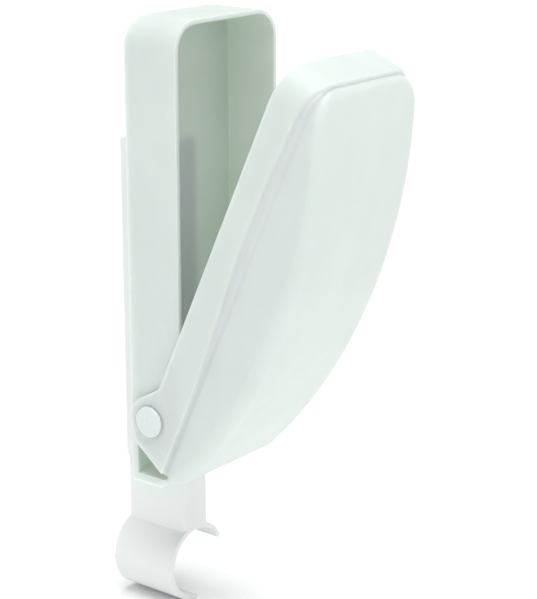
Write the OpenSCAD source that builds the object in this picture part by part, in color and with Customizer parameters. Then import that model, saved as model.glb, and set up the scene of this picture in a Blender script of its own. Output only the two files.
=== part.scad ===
// Hinged two-shell sock aid on a push-on tube clip.
// Millimetres.  The origin is on the axis of the tube that the clip grips, at
// the middle of the clip.  +Z is up, -Y is the open front, +X is the right side.
// The front shell is drawn fully open, resting on its stop.

/* [Tube clip] */
// Outer diameter of the tube that the clip grips
tube_d = 25; // [19:0.5:32]
// Wall of the clip ring
clip_wall = 1.8; // [1.4:0.1:3]
// Distance by which the rolled lips of the clip stand out from the ring
lip_out = 0.25; // [0.15:0.05:0.5]
// Length of the clip along the tube
clip_len = 26.6; // [22:0.2:40]
// Angle at which the upper lip of the clip ends, up from +X
clip_upper_end = 27; // [10:1:40]
// Angle through which the ring wraps from the upper lip to the lower one
clip_wrap = 238; // [220:1:250]

/* [Neck and spine] */
// Width of the neck above the clip
neck_w = 12.6; // [8:0.2:14]
// Width of the spine behind the rear shell
spine_w = 15.2; // [14.2:0.2:22]
// Depth of the spine behind the rear shell
spine_depth = 20.5; // [16:0.5:24]
// Height of the spine above the underside of the rear shell
spine_h = 114; // [70:1:140]
// Wall of the hollow spine and neck
spine_wall = 1.8; // [1.4:0.1:3]
// Number of cross ribs inside the spine
rib_count = 4; // [2:6]
// Thickness of the cross ribs
rib_t = 1.4; // [1:0.1:2]
// Chamfer along the top rear edge of the spine
spine_chamfer = 1.5; // [0.5:0.5:6]
// Radius of the upright corners of the neck and spine
spine_corner = 1.6; // [0.5:0.1:2.4]
// Height of the underside of the rear shell above the tube axis
neck_top_z = 38.5; // [34:0.5:60]

/* [Rear shell] */
// Outer width
tray_w = 52.6; // [42:0.2:66]
// Outer height
tray_h = 158; // [125:1:200]
// Outer depth from its back to its open front
tray_d = 21.6; // [17:0.2:27]
// Side wall
tray_wall = 1.6; // [1.2:0.1:2.4]
// Back wall
tray_back = 2; // [1.6:0.1:3]
// Floor
tray_floor = 3; // [1.6:0.1:4]
// Chamfer under the front edge of the floor
floor_chamfer = 1.4; // [0.4:0.2:1.4]
// Radius of the two top corners, outside
tray_corner = 10; // [6:0.5:14]
// Radius of the ear around the pivot
tray_ear = 10.4; // [9:0.1:10.6]
// Width of the upright strip left beside the window in each side wall
tray_strip = 2.5; // [2.2:0.1:4]

/* [Front shell] */
// Wall of the front shell
shell_wall = 1.6; // [1.2:0.1:2.4]
// Overlap of the closed front shell over the side walls of the rear shell
skirt = 12.8; // [8:0.2:15]
// Depth of the dome at its deepest, in front of the closed rear shell
dome_depth = 20.2; // [17:0.2:28]
// Depth of the dome at its top edge
dome_top_depth = 1.6; // [0.2:0.1:4]
// Depth of the dome at its heel
dome_heel_depth = 5.4; // [3:0.1:9]
// Step from the skirt in to the dome, on each side
dome_step = 1.5; // [1:0.1:1.6]
// Radius between the front face of the dome and its sides
dome_edge = 4; // [2.6:0.1:5]
// Depth of the unrounded heel below the pivot, when closed
heel_drop = 18.8; // [16:0.2:20]
// Slope of the bottom edge of the closed front shell
heel_slope = 22.8; // [14:0.1:26]
// Radius of the rounded heel
heel_round = 5; // [4:0.5:7]
// Distance of the rear end of the sloping bottom edge behind the pivot
heel_rear_y = 3; // [2:0.5:4]
// Radius of the arm around the pivot
arm_ear = 8.6; // [8:0.1:9.4]
// Height above the pivot at which the rim starts to run out into the ear
arm_blend = 13; // [10:0.5:20]
// Angle between the open front shell and the rear shell
open_angle = 24.4; // [15:0.1:28]

/* [Pivot] */
// Height of the pivot above the underside of the rear shell
pivot_up = 23.7; // [22:0.1:30]
// Distance of the pivot in front of the back of the rear shell
pivot_in = 10; // [9.6:0.1:12]
// Diameter of the pin's shank
pin_d = 5; // [4:0.1:6]
// Diameter of the pin's head
pin_head_d = 10.8; // [9:0.1:13]
// Height of the pin's head
pin_head_h = 1.4; // [1:0.1:2]
// Outer diameter of the push-on washer
washer_d = 9.6; // [8:0.1:11]
// Thickness of the push-on washer
washer_t = 1; // [0.8:0.1:1.4]
// Length of the shank past the washer
pin_tip = 0.6; // [0.4:0.1:1.4]

/* [Screws] */
// Diameter of the screw's shank
screw_d = 3; // [2.5:0.1:3.5]
// Length of the screw's shank
screw_len = 10; // [8:0.5:14]
// Diameter of the screw's head
screw_head_d = 6.4; // [5.5:0.1:7]
// Height of the screw's head
screw_head_h = 2; // [1.4:0.1:2.6]
// Height of the lower screw above the underside of the rear shell
screw_low_z = 20; // [14:1:30]
// Distance between the two screws
screw_pitch = 24; // [12:1:60]
// Wall of the boss around each screw
boss_wall = 2; // [1.5:0.1:2.5]
// Length of the cross recess in the screw's head
recess_len = 3.6; // [2.6:0.1:4]
// Width of the cross recess
recess_w = 0.8; // [0.6:0.1:1]
// Depth of the cross recess
recess_depth = 1.2; // [0.8:0.1:1.4]

/* [Clearances] */
// Gap between the skirt and the rear shell
shell_gap = 0.4; // [0.3:0.05:0.6]
// Least gap between the skirt's roof and the rear shell as it swings past
roof_gap = 0.25; // [0.2:0.05:0.5]
// Gap left at the stop when the front shell is open
stop_gap = 0.3; // [0.2:0.05:0.5]
// Gap between the dome and the front edge of the closed rear shell
seat_gap = 0.5; // [0.3:0.05:0.8]
// Radial running clearance of the arm on its pin
pin_play = 0.06; // [0.03:0.01:0.1]
// Radial clearance of a fastener in the hole that it stays in
fit_play = 0.03; // [0.01:0.01:0.06]
// Side clearance of the arm under the head of its pin
side_play = 0.12; // [0.05:0.01:0.2]

/* [Hidden] */
$fn = 64;
bore_fn = 96;          // fine circles for bores and the clip
bow_fn = 360;          // the long bow of the dome
cut = 1;               // overrun of a cutting solid
lap = 1;               // overlap of two parts of one solid
bite = 0.15;           // depth by which a line into the ear cuts its circle
far = 400;             // larger than the whole object

shell_white = "#dde6e3";
clip_white = "#eaefed";
pin_white = "#e6eceb";
steel = "#b9bdc0";

tube_r = tube_d / 2;
ring_r = tube_r + clip_wall;
rear_y = clip_len / 2;
tray_back_y = rear_y - spine_depth;
tray_front_y = tray_back_y - tray_d;
tray_top_z = neck_top_z + tray_h;
pivot_y = tray_back_y - pivot_in;
pivot_z = neck_top_z + pivot_up;

// Places below are measured from the pivot, with the front shell closed.
front_y = tray_front_y - pivot_y;          // front plane of the rear shell
roof_z = norm([front_y, tray_top_z - pivot_z]) + roof_gap; // inside of the skirt's top
top_z = roof_z + shell_wall;               // outside of the skirt's top
skirt_x = tray_w / 2 + shell_gap + shell_wall;
dome_x = skirt_x - dome_step;
rim_y = front_y + skirt;
step_y = front_y - seat_gap;
apex_y = front_y - dome_depth;

// The bow of the dome's front face passes through its three depths.
top_rise = dome_depth - dome_top_depth;
bow_split = sqrt(top_rise / (dome_depth - dome_heel_depth));
bow_up = (top_z + heel_drop) * bow_split / (1 + bow_split);
dome_deepest = top_z - bow_up;
dome_bow = (bow_up * bow_up + top_rise * top_rise) / (2 * top_rise);
bow_axis_y = apex_y + dome_bow;
heel_lean = asin((dome_deepest + heel_drop) / dome_bow);
end_y = bow_axis_y - dome_bow * cos(heel_lean); // front face at the heel

// Centre of the rounded heel: heel_round inside the bow and above the bottom edge.
heel_up = [-sin(heel_slope), cos(heel_slope)];
heel_along = [cos(heel_slope), sin(heel_slope)];
heel_from = [end_y - bow_axis_y, -heel_drop - dome_deepest] + heel_round * heel_up;
heel_run = heel_from * heel_along;
heel_reach = dome_bow - heel_round;
heel_go = -heel_run - sqrt(heel_run * heel_run - heel_from * heel_from + heel_reach * heel_reach);
heel_arm = heel_from + heel_go * heel_along; // from the axis of the bow
heel_c = [bow_axis_y, dome_deepest] + heel_arm;
heel_out = heel_arm / norm(heel_arm);

// Front edge of the floor, which stops the heel once the shell is open.
heel_open = [
    heel_c[0] * cos(open_angle) - heel_c[1] * sin(open_angle),
    heel_c[0] * sin(open_angle) + heel_c[1] * cos(open_angle)
];
stop_up = tray_floor - pivot_up - heel_open[1];
stop_reach = heel_round + stop_gap;
floor_front_y = pivot_y + heel_open[0] + sqrt(max(0, stop_reach * stop_reach - stop_up * stop_up));

heel_rear_z = -heel_drop + (heel_rear_y - end_y) * tan(heel_slope);

// Point just inside the ear's circle where a line from p runs into it, on the
// side given by turn.
function ear_tangent(p, turn) =
    let (r = arm_ear - bite, a = atan2(p[1], p[0]) + turn * acos(r / norm(p)))
    [r * cos(a), r * sin(a)];

washer_x = tray_w / 2 - tray_wall - side_play; // outer face of the washer
pin_tip_x = washer_x - washer_t - pin_tip;
head_x = skirt_x + side_play;                  // underside of the pin's head
boss_d = screw_d + 2 * boss_wall;
boss_end = 1;                                  // closed end of the boss
boss_len = screw_len - tray_back + 1 + boss_end;

// ---- outlines -------------------------------------------------------------

// Rounded rectangle of width w between two heights, with top corners of radius
// r and square bottom corners, centred on x = 0.
module arch_outline(w, low, high, r) {
    translate([-w / 2, low]) square([w, high - low - r]);
    translate([-w / 2 + r, low]) square([w - 2 * r, high - low]);
    for (side = [-1, 1])
        translate([side * (w / 2 - r), high - r]) circle(r);
}

// Rectangle with all four corners rounded, from (-w/2, y0) to (w/2, y1).
module post_outline(w, y0, y1, r) {
    translate([-w / 2, y0 + r]) square([w, y1 - y0 - 2 * r]);
    translate([-w / 2 + r, y0]) square([w - 2 * r, y1 - y0]);
    for (side = [-1, 1], y = [y0 + r, y1 - r])
        translate([side * (w / 2 - r), y]) circle(r);
}

// Extrudes an outline drawn in X and Z from y0 to y1.
module along_y(y0, y1) {
    translate([0, y1, 0]) rotate([90, 0, 0]) linear_extrude(y1 - y0) children();
}

// Extrudes an outline drawn in Y and Z symmetrically along X.
module along_x(w) {
    rotate([90, 0, 90]) translate([0, 0, -w / 2]) linear_extrude(w) children();
}

// Cylinder along X from x0 to x1, at a height and depth.
module rod_x(x0, x1, d, fn = bore_fn) {
    translate([x0, 0, 0]) rotate([0, 90, 0]) cylinder(h = x1 - x0, d = d, $fn = fn);
}

// ---- clip bracket ---------------------------------------------------------

module clip_ring() {
    rotate([90, 0, 0]) translate([0, 0, -clip_len / 2]) {
        rotate([0, 0, clip_upper_end])
            rotate_extrude(angle = clip_wrap, $fn = bore_fn)
                translate([tube_r, 0]) square([clip_wall, clip_len]);
        for (a = [clip_upper_end, clip_upper_end + clip_wrap])
            rotate([0, 0, a]) translate([tube_r + clip_wall / 2 + lip_out, 0, 0])
                cylinder(h = clip_len, d = clip_wall, $fn = 32);
    }
}

module screw_places() {
    for (i = [0, 1])
        translate([0, tray_back_y, neck_top_z + screw_low_z + i * screw_pitch]) children();
}

module clip_bracket() color(clip_white) difference() {
    union() {
        difference() {
            union() {
                // neck
                linear_extrude(neck_top_z)
                    post_outline(neck_w, -rear_y, rear_y, spine_corner);
                // spine
                translate([0, 0, neck_top_z - lap])
                    linear_extrude(spine_h + lap)
                        post_outline(spine_w, tray_back_y, rear_y, spine_corner);
            }
            // hollow of the spine, closed by the back of the rear shell
            translate([-spine_w / 2 + spine_wall, tray_back_y - cut, neck_top_z])
                cube([spine_w - 2 * spine_wall, spine_depth - spine_wall + cut, spine_h - spine_wall]);
            // hollow of the neck, closed by the floor of the rear shell
            translate([-neck_w / 2 + spine_wall, -rear_y + spine_wall, ring_r + spine_wall])
                cube([neck_w - 2 * spine_wall, clip_len - 2 * spine_wall, neck_top_z]);
            // room for the clip ring, which fills it
            rotate([90, 0, 0])
                cylinder(h = far, r = tube_r + clip_wall / 2, center = true, $fn = bore_fn);
            // chamfer of the top rear edge
            translate([0, rear_y, neck_top_z + spine_h]) rotate([45, 0, 0])
                cube([far, spine_chamfer * sqrt(2), spine_chamfer * sqrt(2)], center = true);
        }
        // cross ribs and screw bosses in the spine
        for (i = [1:rib_count])
            translate([
                -spine_w / 2 + lap, tray_back_y + rib_t,
                neck_top_z + i * spine_h / (rib_count + 1) - rib_t / 2
            ])
                cube([spine_w - 2 * lap, spine_depth - spine_wall + lap - rib_t, rib_t]);
        screw_places() rotate([-90, 0, 0]) {
            cylinder(h = boss_len, d = boss_d);
            translate([-spine_w / 2 + lap, -rib_t / 2, 0])
                cube([spine_w - 2 * lap, rib_t, boss_len]);
        }
        clip_ring();
    }
    // screw holes
    screw_places() rotate([-90, 0, 0]) translate([0, 0, -cut])
        cylinder(h = boss_len + cut - boss_end, r = screw_d / 2 + fit_play);
}

// ---- rear shell -----------------------------------------------------------

// Part of each side wall that stays below the pivot: the ear and the strip.
module ear_outline() {
    circle(tray_ear);
    translate([0, -tray_ear]) square([pivot_in, 2 * tray_ear]);
}

module rear_shell() color(shell_white) difference() {
    along_y(tray_front_y, tray_back_y)
        arch_outline(tray_w, neck_top_z, tray_top_z, tray_corner);
    // inside
    along_y(tray_front_y - cut, tray_back_y - tray_back)
        arch_outline(tray_w - 2 * tray_wall, neck_top_z + tray_floor, tray_top_z - tray_wall,
            tray_corner - tray_wall);
    // window below and in front of the ear in both side walls
    translate([0, pivot_y, pivot_z]) along_x(far) difference() {
        translate([front_y - cut, tray_floor - pivot_up])
            square([pivot_in - tray_strip - front_y + cut, pivot_up - tray_floor + tray_ear / 4]);
        ear_outline();
    }
    // front of the floor, cut back to the stop, with a chamfer underneath
    translate([-far / 2, tray_front_y - cut, neck_top_z - cut])
        cube([far, floor_front_y - tray_front_y + cut, tray_floor + 2 * cut]);
    translate([0, floor_front_y, neck_top_z]) rotate([45, 0, 0])
        cube([far, floor_chamfer * sqrt(2), floor_chamfer * sqrt(2)], center = true);
    // pin holes
    translate([0, pivot_y, pivot_z])
        rod_x(-far / 2, far / 2, pin_d + 2 * fit_play);
    // screw holes
    screw_places() rotate([90, 0, 0]) translate([0, 0, -cut])
        cylinder(h = tray_back + 2 * cut, r = screw_d / 2 + fit_play);
}

// ---- front shell ----------------------------------------------------------

// Dome with its wall offset inwards by inset: a barrel turned about the X axis
// of the bow, trimmed to the arch outline.
module dome(inset) {
    r = dome_bow - inset;
    x = dome_x - inset;
    edge = dome_edge - inset;
    intersection() {
        translate([0, bow_axis_y, dome_deepest]) rotate([0, 90, 0]) rotate_extrude($fn = bow_fn) {
            translate([0, -x]) square([r - edge, 2 * x]);
            translate([0, edge - x]) square([r, 2 * (x - edge)]);
            for (side = [-1, 1])
                translate([r - edge, side * (x - edge)]) circle(edge);
        }
        along_y(apex_y - cut, step_y + inset)
            arch_outline(2 * x, -2 * heel_drop, top_z - dome_step / 2 - inset,
                tray_corner + lap - inset);
    }
}

// Side view of an arm: the ear round the pivot, run into the rim above it and
// into the heel below it by straight lines.
module arm_outline() {
    circle(arm_ear);
    polygon([
        [rim_y, arm_blend], ear_tangent([rim_y, arm_blend], -1),
        ear_tangent([heel_rear_y, heel_rear_z], 1), [heel_rear_y, heel_rear_z],
        [step_y, -heel_drop - cut], [step_y, arm_blend]
    ]);
}

// Corner outside the rounded heel of radius r, in Y and Z.
module heel_waste(r) {
    reach = r + 2 * heel_round;
    translate(heel_c) difference() {
        polygon([[0, 0], reach * heel_out, reach * (heel_out - heel_up), -reach * heel_up]);
        circle(r + bite / 3);
    }
}

// Everything below the sloping bottom edge raised by lift.
module below_heel(lift) {
    translate([0, end_y, -heel_drop]) rotate([heel_slope, 0, 0])
        translate([-far / 2, -far / 2, lift - far]) cube([far, far, far]);
}

module front_shell() color(shell_white)
    translate([0, pivot_y, pivot_z]) rotate([open_angle, 0, 0]) difference() {
        union() {
            // skirt
            along_y(step_y - shell_wall, rim_y)
                arch_outline(2 * skirt_x, -heel_drop - cut, top_z, tray_corner + shell_gap + shell_wall);
            // arms round the pivot
            along_x(2 * skirt_x) arm_outline();
            dome(0);
        }
        // room for the rear shell inside the skirt and between the arms
        along_y(step_y, far / 2)
            arch_outline(2 * (skirt_x - shell_wall), -2 * heel_drop, roof_z,
                tray_corner + shell_gap);
        // inside of the dome, with the wall carried round under the heel
        difference() {
            dome(shell_wall);
            below_heel(shell_wall);
            along_x(far) heel_waste(heel_round - shell_wall);
        }
        // sloping bottom edge and rounded heel
        below_heel(0);
        along_x(far) heel_waste(heel_round);
        // pin holes
        rod_x(-far / 2, far / 2, pin_d + 2 * pin_play);
    }

// ---- pivot pins and washers -----------------------------------------------

module pivot_pin() {
    // shank, head and the low dome on the head
    rod_x(pin_tip_x, head_x, pin_d);
    translate([head_x, 0, 0]) rotate([0, 90, 0]) rotate_extrude($fn = bore_fn) {
        square([pin_head_d / 2, pin_head_h / 2]);
        square([pin_head_d / 2 - pin_head_h / 2, pin_head_h]);
        translate([pin_head_d / 2 - pin_head_h / 2, pin_head_h / 2]) circle(pin_head_h / 2, $fn = 32);
    }
}

module pin_washer() difference() {
    rod_x(washer_x - washer_t, washer_x, washer_d);
    rod_x(0, far / 2, pin_d + 2 * fit_play);
}

module at_pivot(side) {
    translate([0, pivot_y, pivot_z]) mirror([side < 0 ? 1 : 0, 0, 0]) children();
}

module pivot_pin_left() color(pin_white) at_pivot(-1) pivot_pin();
module pivot_pin_right() color(pin_white) at_pivot(1) pivot_pin();
module pin_washer_left() color(steel) at_pivot(-1) pin_washer();
module pin_washer_right() color(steel) at_pivot(1) pin_washer();

// ---- screws ---------------------------------------------------------------

module back_screws() color(steel) screw_places()
    translate([0, -tray_back, 0]) rotate([-90, 0, 0]) difference() {
        union() {
            cylinder(h = screw_len, d = screw_d);
            translate([0, 0, -screw_head_h]) cylinder(h = screw_head_h, d = screw_head_d);
        }
        // cross recess
        for (a = [0, 90])
            rotate([0, 0, a])
                translate([-recess_len / 2, -recess_w / 2, -screw_head_h - cut])
                    cube([recess_len, recess_w, cut + recess_depth]);
    }

rear_shell();
front_shell();
clip_bracket();
pivot_pin_left();
pivot_pin_right();
pin_washer_left();
pin_washer_right();
back_screws();
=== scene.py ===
"""Looks of a hinged two-shell sock aid on a push-on tube clip."""

import logging
import math
from dataclasses import dataclass, field
from enum import Enum
from typing import Iterable, Sequence

import bmesh
import bpy
from mathutils import Matrix, Vector


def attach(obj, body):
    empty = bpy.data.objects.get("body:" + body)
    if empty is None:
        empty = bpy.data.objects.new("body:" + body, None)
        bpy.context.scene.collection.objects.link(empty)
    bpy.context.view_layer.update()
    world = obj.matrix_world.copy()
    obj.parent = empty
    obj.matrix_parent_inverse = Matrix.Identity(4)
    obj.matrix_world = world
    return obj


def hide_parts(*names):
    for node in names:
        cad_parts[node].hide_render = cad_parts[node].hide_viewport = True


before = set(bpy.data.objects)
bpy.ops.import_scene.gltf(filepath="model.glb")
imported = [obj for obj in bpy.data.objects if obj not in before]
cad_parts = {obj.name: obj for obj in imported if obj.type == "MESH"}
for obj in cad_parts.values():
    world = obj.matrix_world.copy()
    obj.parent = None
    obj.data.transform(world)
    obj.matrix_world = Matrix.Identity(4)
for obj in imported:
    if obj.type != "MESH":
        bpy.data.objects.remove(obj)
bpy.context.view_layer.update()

MM = 0.001
SLIVER = 0.001 * MM
# Far enough, in millimetres, for a tool to cut right through any piece.
THROUGH = 60.0
# Chords round a pin hole and round a screw hole.
PIN_CHORDS = 48
SCREW_CHORDS = 40
LOG = logging.getLogger("sock_aid")

Point2 = tuple[float, float]
Point3 = tuple[float, float, float]


class Plane(Enum):
    """The plane an outline is drawn in; it is extruded along the third axis."""

    XY = "xy"
    XZ = "xz"
    YZ = "yz"


class Cut(Enum):
    """How one solid is combined with another."""

    DIFFERENCE = "DIFFERENCE"
    UNION = "UNION"


class Arch(Enum):
    """Part of the cover's arch that a row of points crosses."""

    CORNER = "corner"
    TOP = "top"


@dataclass(frozen=True)
class Sheet:
    """One skin of the cover.

    Attributes:
        points: Its points.
        faces: Point numbers of each face.
        rim: Point numbers along the rim.
        foot: Point numbers round the foot.
    """

    points: list[Point3]
    faces: list[list[int]]
    rim: list[int]
    foot: list[int]


# ---- small geometry helpers ------------------------------------------------


def in_space(plane: Plane, p: Point2, h: float) -> Point3:
    """Places a point of an outline in space.

    Args:
        plane: The plane that the outline is drawn in.
        p: The point, in that plane's own two axes.
        h: The place along the third axis.

    Returns:
        The point's X, Y and Z.
    """
    if plane is Plane.XY:
        return (p[0], p[1], h)
    if plane is Plane.XZ:
        return (p[0], h, p[1])
    return (h, p[0], p[1])


def arc(cx: float, cy: float, r: float, a0: float, a1: float, steps: int) -> list[Point2]:
    """Points along an arc, both ends included.

    Args:
        cx: Centre, first axis.
        cy: Centre, second axis.
        r: Radius.
        a0: First angle in degrees.
        a1: Last angle in degrees.
        steps: Number of chords.

    Returns:
        The points in order.
    """
    out = []
    for i in range(steps + 1):
        a = math.radians(a0 + (a1 - a0) * i / steps)
        out.append((cx + r * math.cos(a), cy + r * math.sin(a)))
    return out


def arch_outline(w: float, low: float, high: float, r: float, steps: int = 12) -> list[Point2]:
    """A rectangle with two rounded top corners, centred on X = 0.

    Args:
        w: Width.
        low: Lower edge.
        high: Upper edge.
        r: Radius of the top corners.
        steps: Chords in each corner.

    Returns:
        The outline, anticlockwise.
    """
    x, z = w / 2 - r, high - r
    return [
        (-w / 2, low),
        (w / 2, low),
        *arc(x, z, r, 0, 90, steps),
        *arc(-x, z, r, 90, 180, steps),
    ]


def rounded_outline(
    x0: float, x1: float, y0: float, y1: float, r: float, steps: int = 6
) -> list[Point2]:
    """A rectangle with four rounded corners.

    Args:
        x0: Left edge.
        x1: Right edge.
        y0: Lower edge.
        y1: Upper edge.
        r: Radius of the corners.
        steps: Chords in each corner.

    Returns:
        The outline, anticlockwise.
    """
    return [
        *arc(x1 - r, y0 + r, r, -90, 0, steps),
        *arc(x1 - r, y1 - r, r, 0, 90, steps),
        *arc(x0 + r, y1 - r, r, 90, 180, steps),
        *arc(x0 + r, y0 + r, r, 180, 270, steps),
    ]


def tangent_point(p: Point2, r: float, turn: int) -> Point2:
    """The point where a line from p touches a circle about the origin.

    Args:
        p: A point outside the circle.
        r: The circle's radius.
        turn: Which of the two tangents, +1 or -1.

    Returns:
        The touching point.
    """
    a = math.atan2(p[1], p[0]) + turn * math.acos(r / math.hypot(*p))
    return (r * math.cos(a), r * math.sin(a))


def smoothstep(t: float) -> float:
    """Eases t from 0 to 1, held at both ends."""
    t = min(1.0, max(0.0, t))
    return t * t * (3 - 2 * t)


def mesh_object(
    name: str, points: Sequence[Point3], faces: Sequence[Sequence[int]]
) -> bpy.types.Object:
    """Makes an object from points in millimetres.

    Args:
        name: The object's name.
        points: Vertices, in millimetres.
        faces: Vertex numbers of each face.

    Returns:
        The object, linked, with its faces turned outwards.
    """
    mesh = bpy.data.meshes.new(name)
    mesh.from_pydata([[c * MM for c in p] for p in points], [], faces)
    bm = bmesh.new()
    bm.from_mesh(mesh)
    bmesh.ops.remove_doubles(bm, verts=bm.verts, dist=2e-6)
    bmesh.ops.recalc_face_normals(bm, faces=bm.faces)
    bm.to_mesh(mesh)
    bm.free()
    obj = bpy.data.objects.new(name, mesh)
    bpy.context.scene.collection.objects.link(obj)
    return obj


def prism(
    name: str, plane: Plane, outline: Sequence[Point2], a: float, b: float
) -> bpy.types.Object:
    """Extrudes an outline along the axis square to its plane.

    Args:
        name: The object's name.
        plane: The plane that the outline is drawn in.
        outline: Its points in order.
        a: Where the extrusion starts.
        b: Where it ends.

    Returns:
        The closed prism.
    """
    n = len(outline)
    points = [in_space(plane, p, h) for h in (a, b) for p in outline]
    sides = [(i, (i + 1) % n, n + (i + 1) % n, n + i) for i in range(n)]
    return mesh_object(name, points, [list(range(n))[::-1], list(range(n, 2 * n)), *sides])


def lathe(name: str, profile: Sequence[Point2], steps: int) -> bpy.types.Object:
    """Turns a profile about the X axis.

    Args:
        name: The object's name.
        profile: Points as (place along X, radius), from one end to the other.
        steps: Chords round the circle.

    Returns:
        The closed turned piece; ends on the axis close in a point.
    """
    points: list[Point3] = []
    rows: list[list[int]] = []
    for x, r in profile:
        if r < 1e-6:
            rows.append([len(points)] * steps)
            points.append((x, 0.0, 0.0))
            continue
        rows.append(list(range(len(points), len(points) + steps)))
        for i in range(steps):
            a = 2 * math.pi * i / steps
            points.append((x, r * math.cos(a), r * math.sin(a)))
    faces = []
    closed = profile[0] == profile[-1]
    if closed:
        rows[-1] = rows[0]
    for lower, upper in zip(rows, rows[1:]):
        for i in range(steps):
            j = (i + 1) % steps
            quad = [lower[i], lower[j], upper[j], upper[i]]
            face = list(dict.fromkeys(quad))
            if len(face) > 2:
                faces.append(face)
    return mesh_object(name, points, faces)


def drop(obj: bpy.types.Object) -> None:
    """Removes a helper object and its mesh."""
    mesh = obj.data
    bpy.data.objects.remove(obj)
    bpy.data.meshes.remove(mesh)


def baked(obj: bpy.types.Object) -> bpy.types.Object:
    """Turns an object's live modifiers into its mesh.

    Args:
        obj: The object, whose modifiers are then removed.

    Returns:
        The same object.
    """
    graph = bpy.context.evaluated_depsgraph_get()
    mesh = bpy.data.meshes.new_from_object(obj.evaluated_get(graph), depsgraph=graph)
    old = obj.data
    obj.modifiers.clear()
    obj.data = mesh
    mesh.name = obj.name
    bpy.data.meshes.remove(old)
    return obj


def combine(obj: bpy.types.Object, how: Cut, *tools: bpy.types.Object) -> bpy.types.Object:
    """Combines a solid with others, which are used up.

    Args:
        obj: The solid that is kept.
        how: Whether the others are added or taken away.
        tools: The other solids.

    Returns:
        The kept solid.
    """
    for tool in tools:
        mod = obj.modifiers.new("combine", "BOOLEAN")
        mod.operation = how.value
        mod.solver = "EXACT"
        mod.object = tool
    baked(obj)
    for tool in tools:
        drop(tool)
    return obj


def trimmed(obj: bpy.types.Object) -> bpy.types.Object:
    """Merges the all but equal points that rounding leaves at shallow joins.

    Args:
        obj: The solid.

    Returns:
        The same object.
    """
    work = bmesh.new()
    work.from_mesh(obj.data)
    bmesh.ops.remove_doubles(work, verts=work.verts, dist=SLIVER)
    bmesh.ops.dissolve_degenerate(work, dist=SLIVER, edges=work.edges)
    work.to_mesh(obj.data)
    work.free()
    obj.data.update()
    return obj


def soften(
    obj: bpy.types.Object, width: float, segments: int = 3, angle: float = 38.0
) -> bpy.types.Object:
    """Rounds a solid's sharp edges as a mould does.

    Args:
        obj: The solid.
        width: Radius of the rounding, in millimetres.
        segments: Chords across it.
        angle: Edges sharper than this many degrees are rounded.

    Returns:
        The same object, smooth shaded.
    """
    mod = obj.modifiers.new("soften", "BEVEL")
    mod.width = width * MM
    mod.segments = segments
    mod.limit_method = "ANGLE"
    mod.angle_limit = math.radians(angle)
    mod.use_clamp_overlap = True
    mod.miter_outer = "MITER_ARC"
    mod.harden_normals = False
    baked(obj)
    return shaded(obj)


def shaded(obj: bpy.types.Object, sharp: float = 34.0) -> bpy.types.Object:
    """Smooth shading with crisp true corners and flat faces that stay flat."""
    obj.data.shade_smooth()
    obj.data.set_sharp_from_angle(angle=math.radians(sharp))
    mod = obj.modifiers.new("even", "WEIGHTED_NORMAL")
    mod.keep_sharp = True
    mod.weight = 60
    return baked(obj)


# ---- finishes --------------------------------------------------------------


def linear(colour: str) -> tuple[float, float, float, float]:
    """A hex sRGB colour as linear RGBA.

    Args:
        colour: Such as "#dde6e3".

    Returns:
        Linear red, green, blue and an alpha of 1.
    """
    out = []
    for i in (1, 3, 5):
        c = int(colour[i : i + 2], 16) / 255
        out.append(c / 12.92 if c <= 0.04045 else ((c + 0.055) / 1.055) ** 2.4)
    return (out[0], out[1], out[2], 1.0)


def per_metre(size: float) -> float:
    """A pattern's scale from the size of its patches in millimetres."""
    return 1000.0 / size


def add_node(
    tree: bpy.types.NodeTree, kind: str, settings: dict | None = None, **links: object
) -> bpy.types.Node:
    """Adds a node with its settings and what feeds it.

    Args:
        tree: The node tree.
        kind: The node's type.
        settings: Properties of the node, by name.
        links: For each input, by its name with spaces as "_", or by "in" and its
            number, a socket to link from or a plain value.

    Returns:
        The new node.
    """
    node = tree.nodes.new(kind)
    for key, value in (settings or {}).items():
        setattr(node, key, value)
    for key, value in links.items():
        if key.startswith("in") and key[2:].isdigit():
            socket = node.inputs[int(key[2:])]
        else:
            socket = node.inputs[key.replace("_", " ")]
        if isinstance(value, bpy.types.NodeSocket):
            tree.links.new(value, socket)
        else:
            socket.default_value = value
    return node


def ramp(
    tree: bpy.types.NodeTree, fac: bpy.types.NodeSocket, stops: Iterable[tuple[float, str]]
) -> bpy.types.Node:
    """A colour ramp.

    Args:
        tree: The node tree.
        fac: What drives the ramp.
        stops: Place and hex colour of each stop.

    Returns:
        The ramp node.
    """
    node = add_node(tree, "ShaderNodeValToRGB", Fac=fac)
    stops = list(stops)
    elements = node.color_ramp.elements
    while len(elements) < len(stops):
        elements.new(1.0)
    for element, (place, colour) in zip(elements, stops):
        element.position = place
        element.color = linear(colour)
    return node


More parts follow.
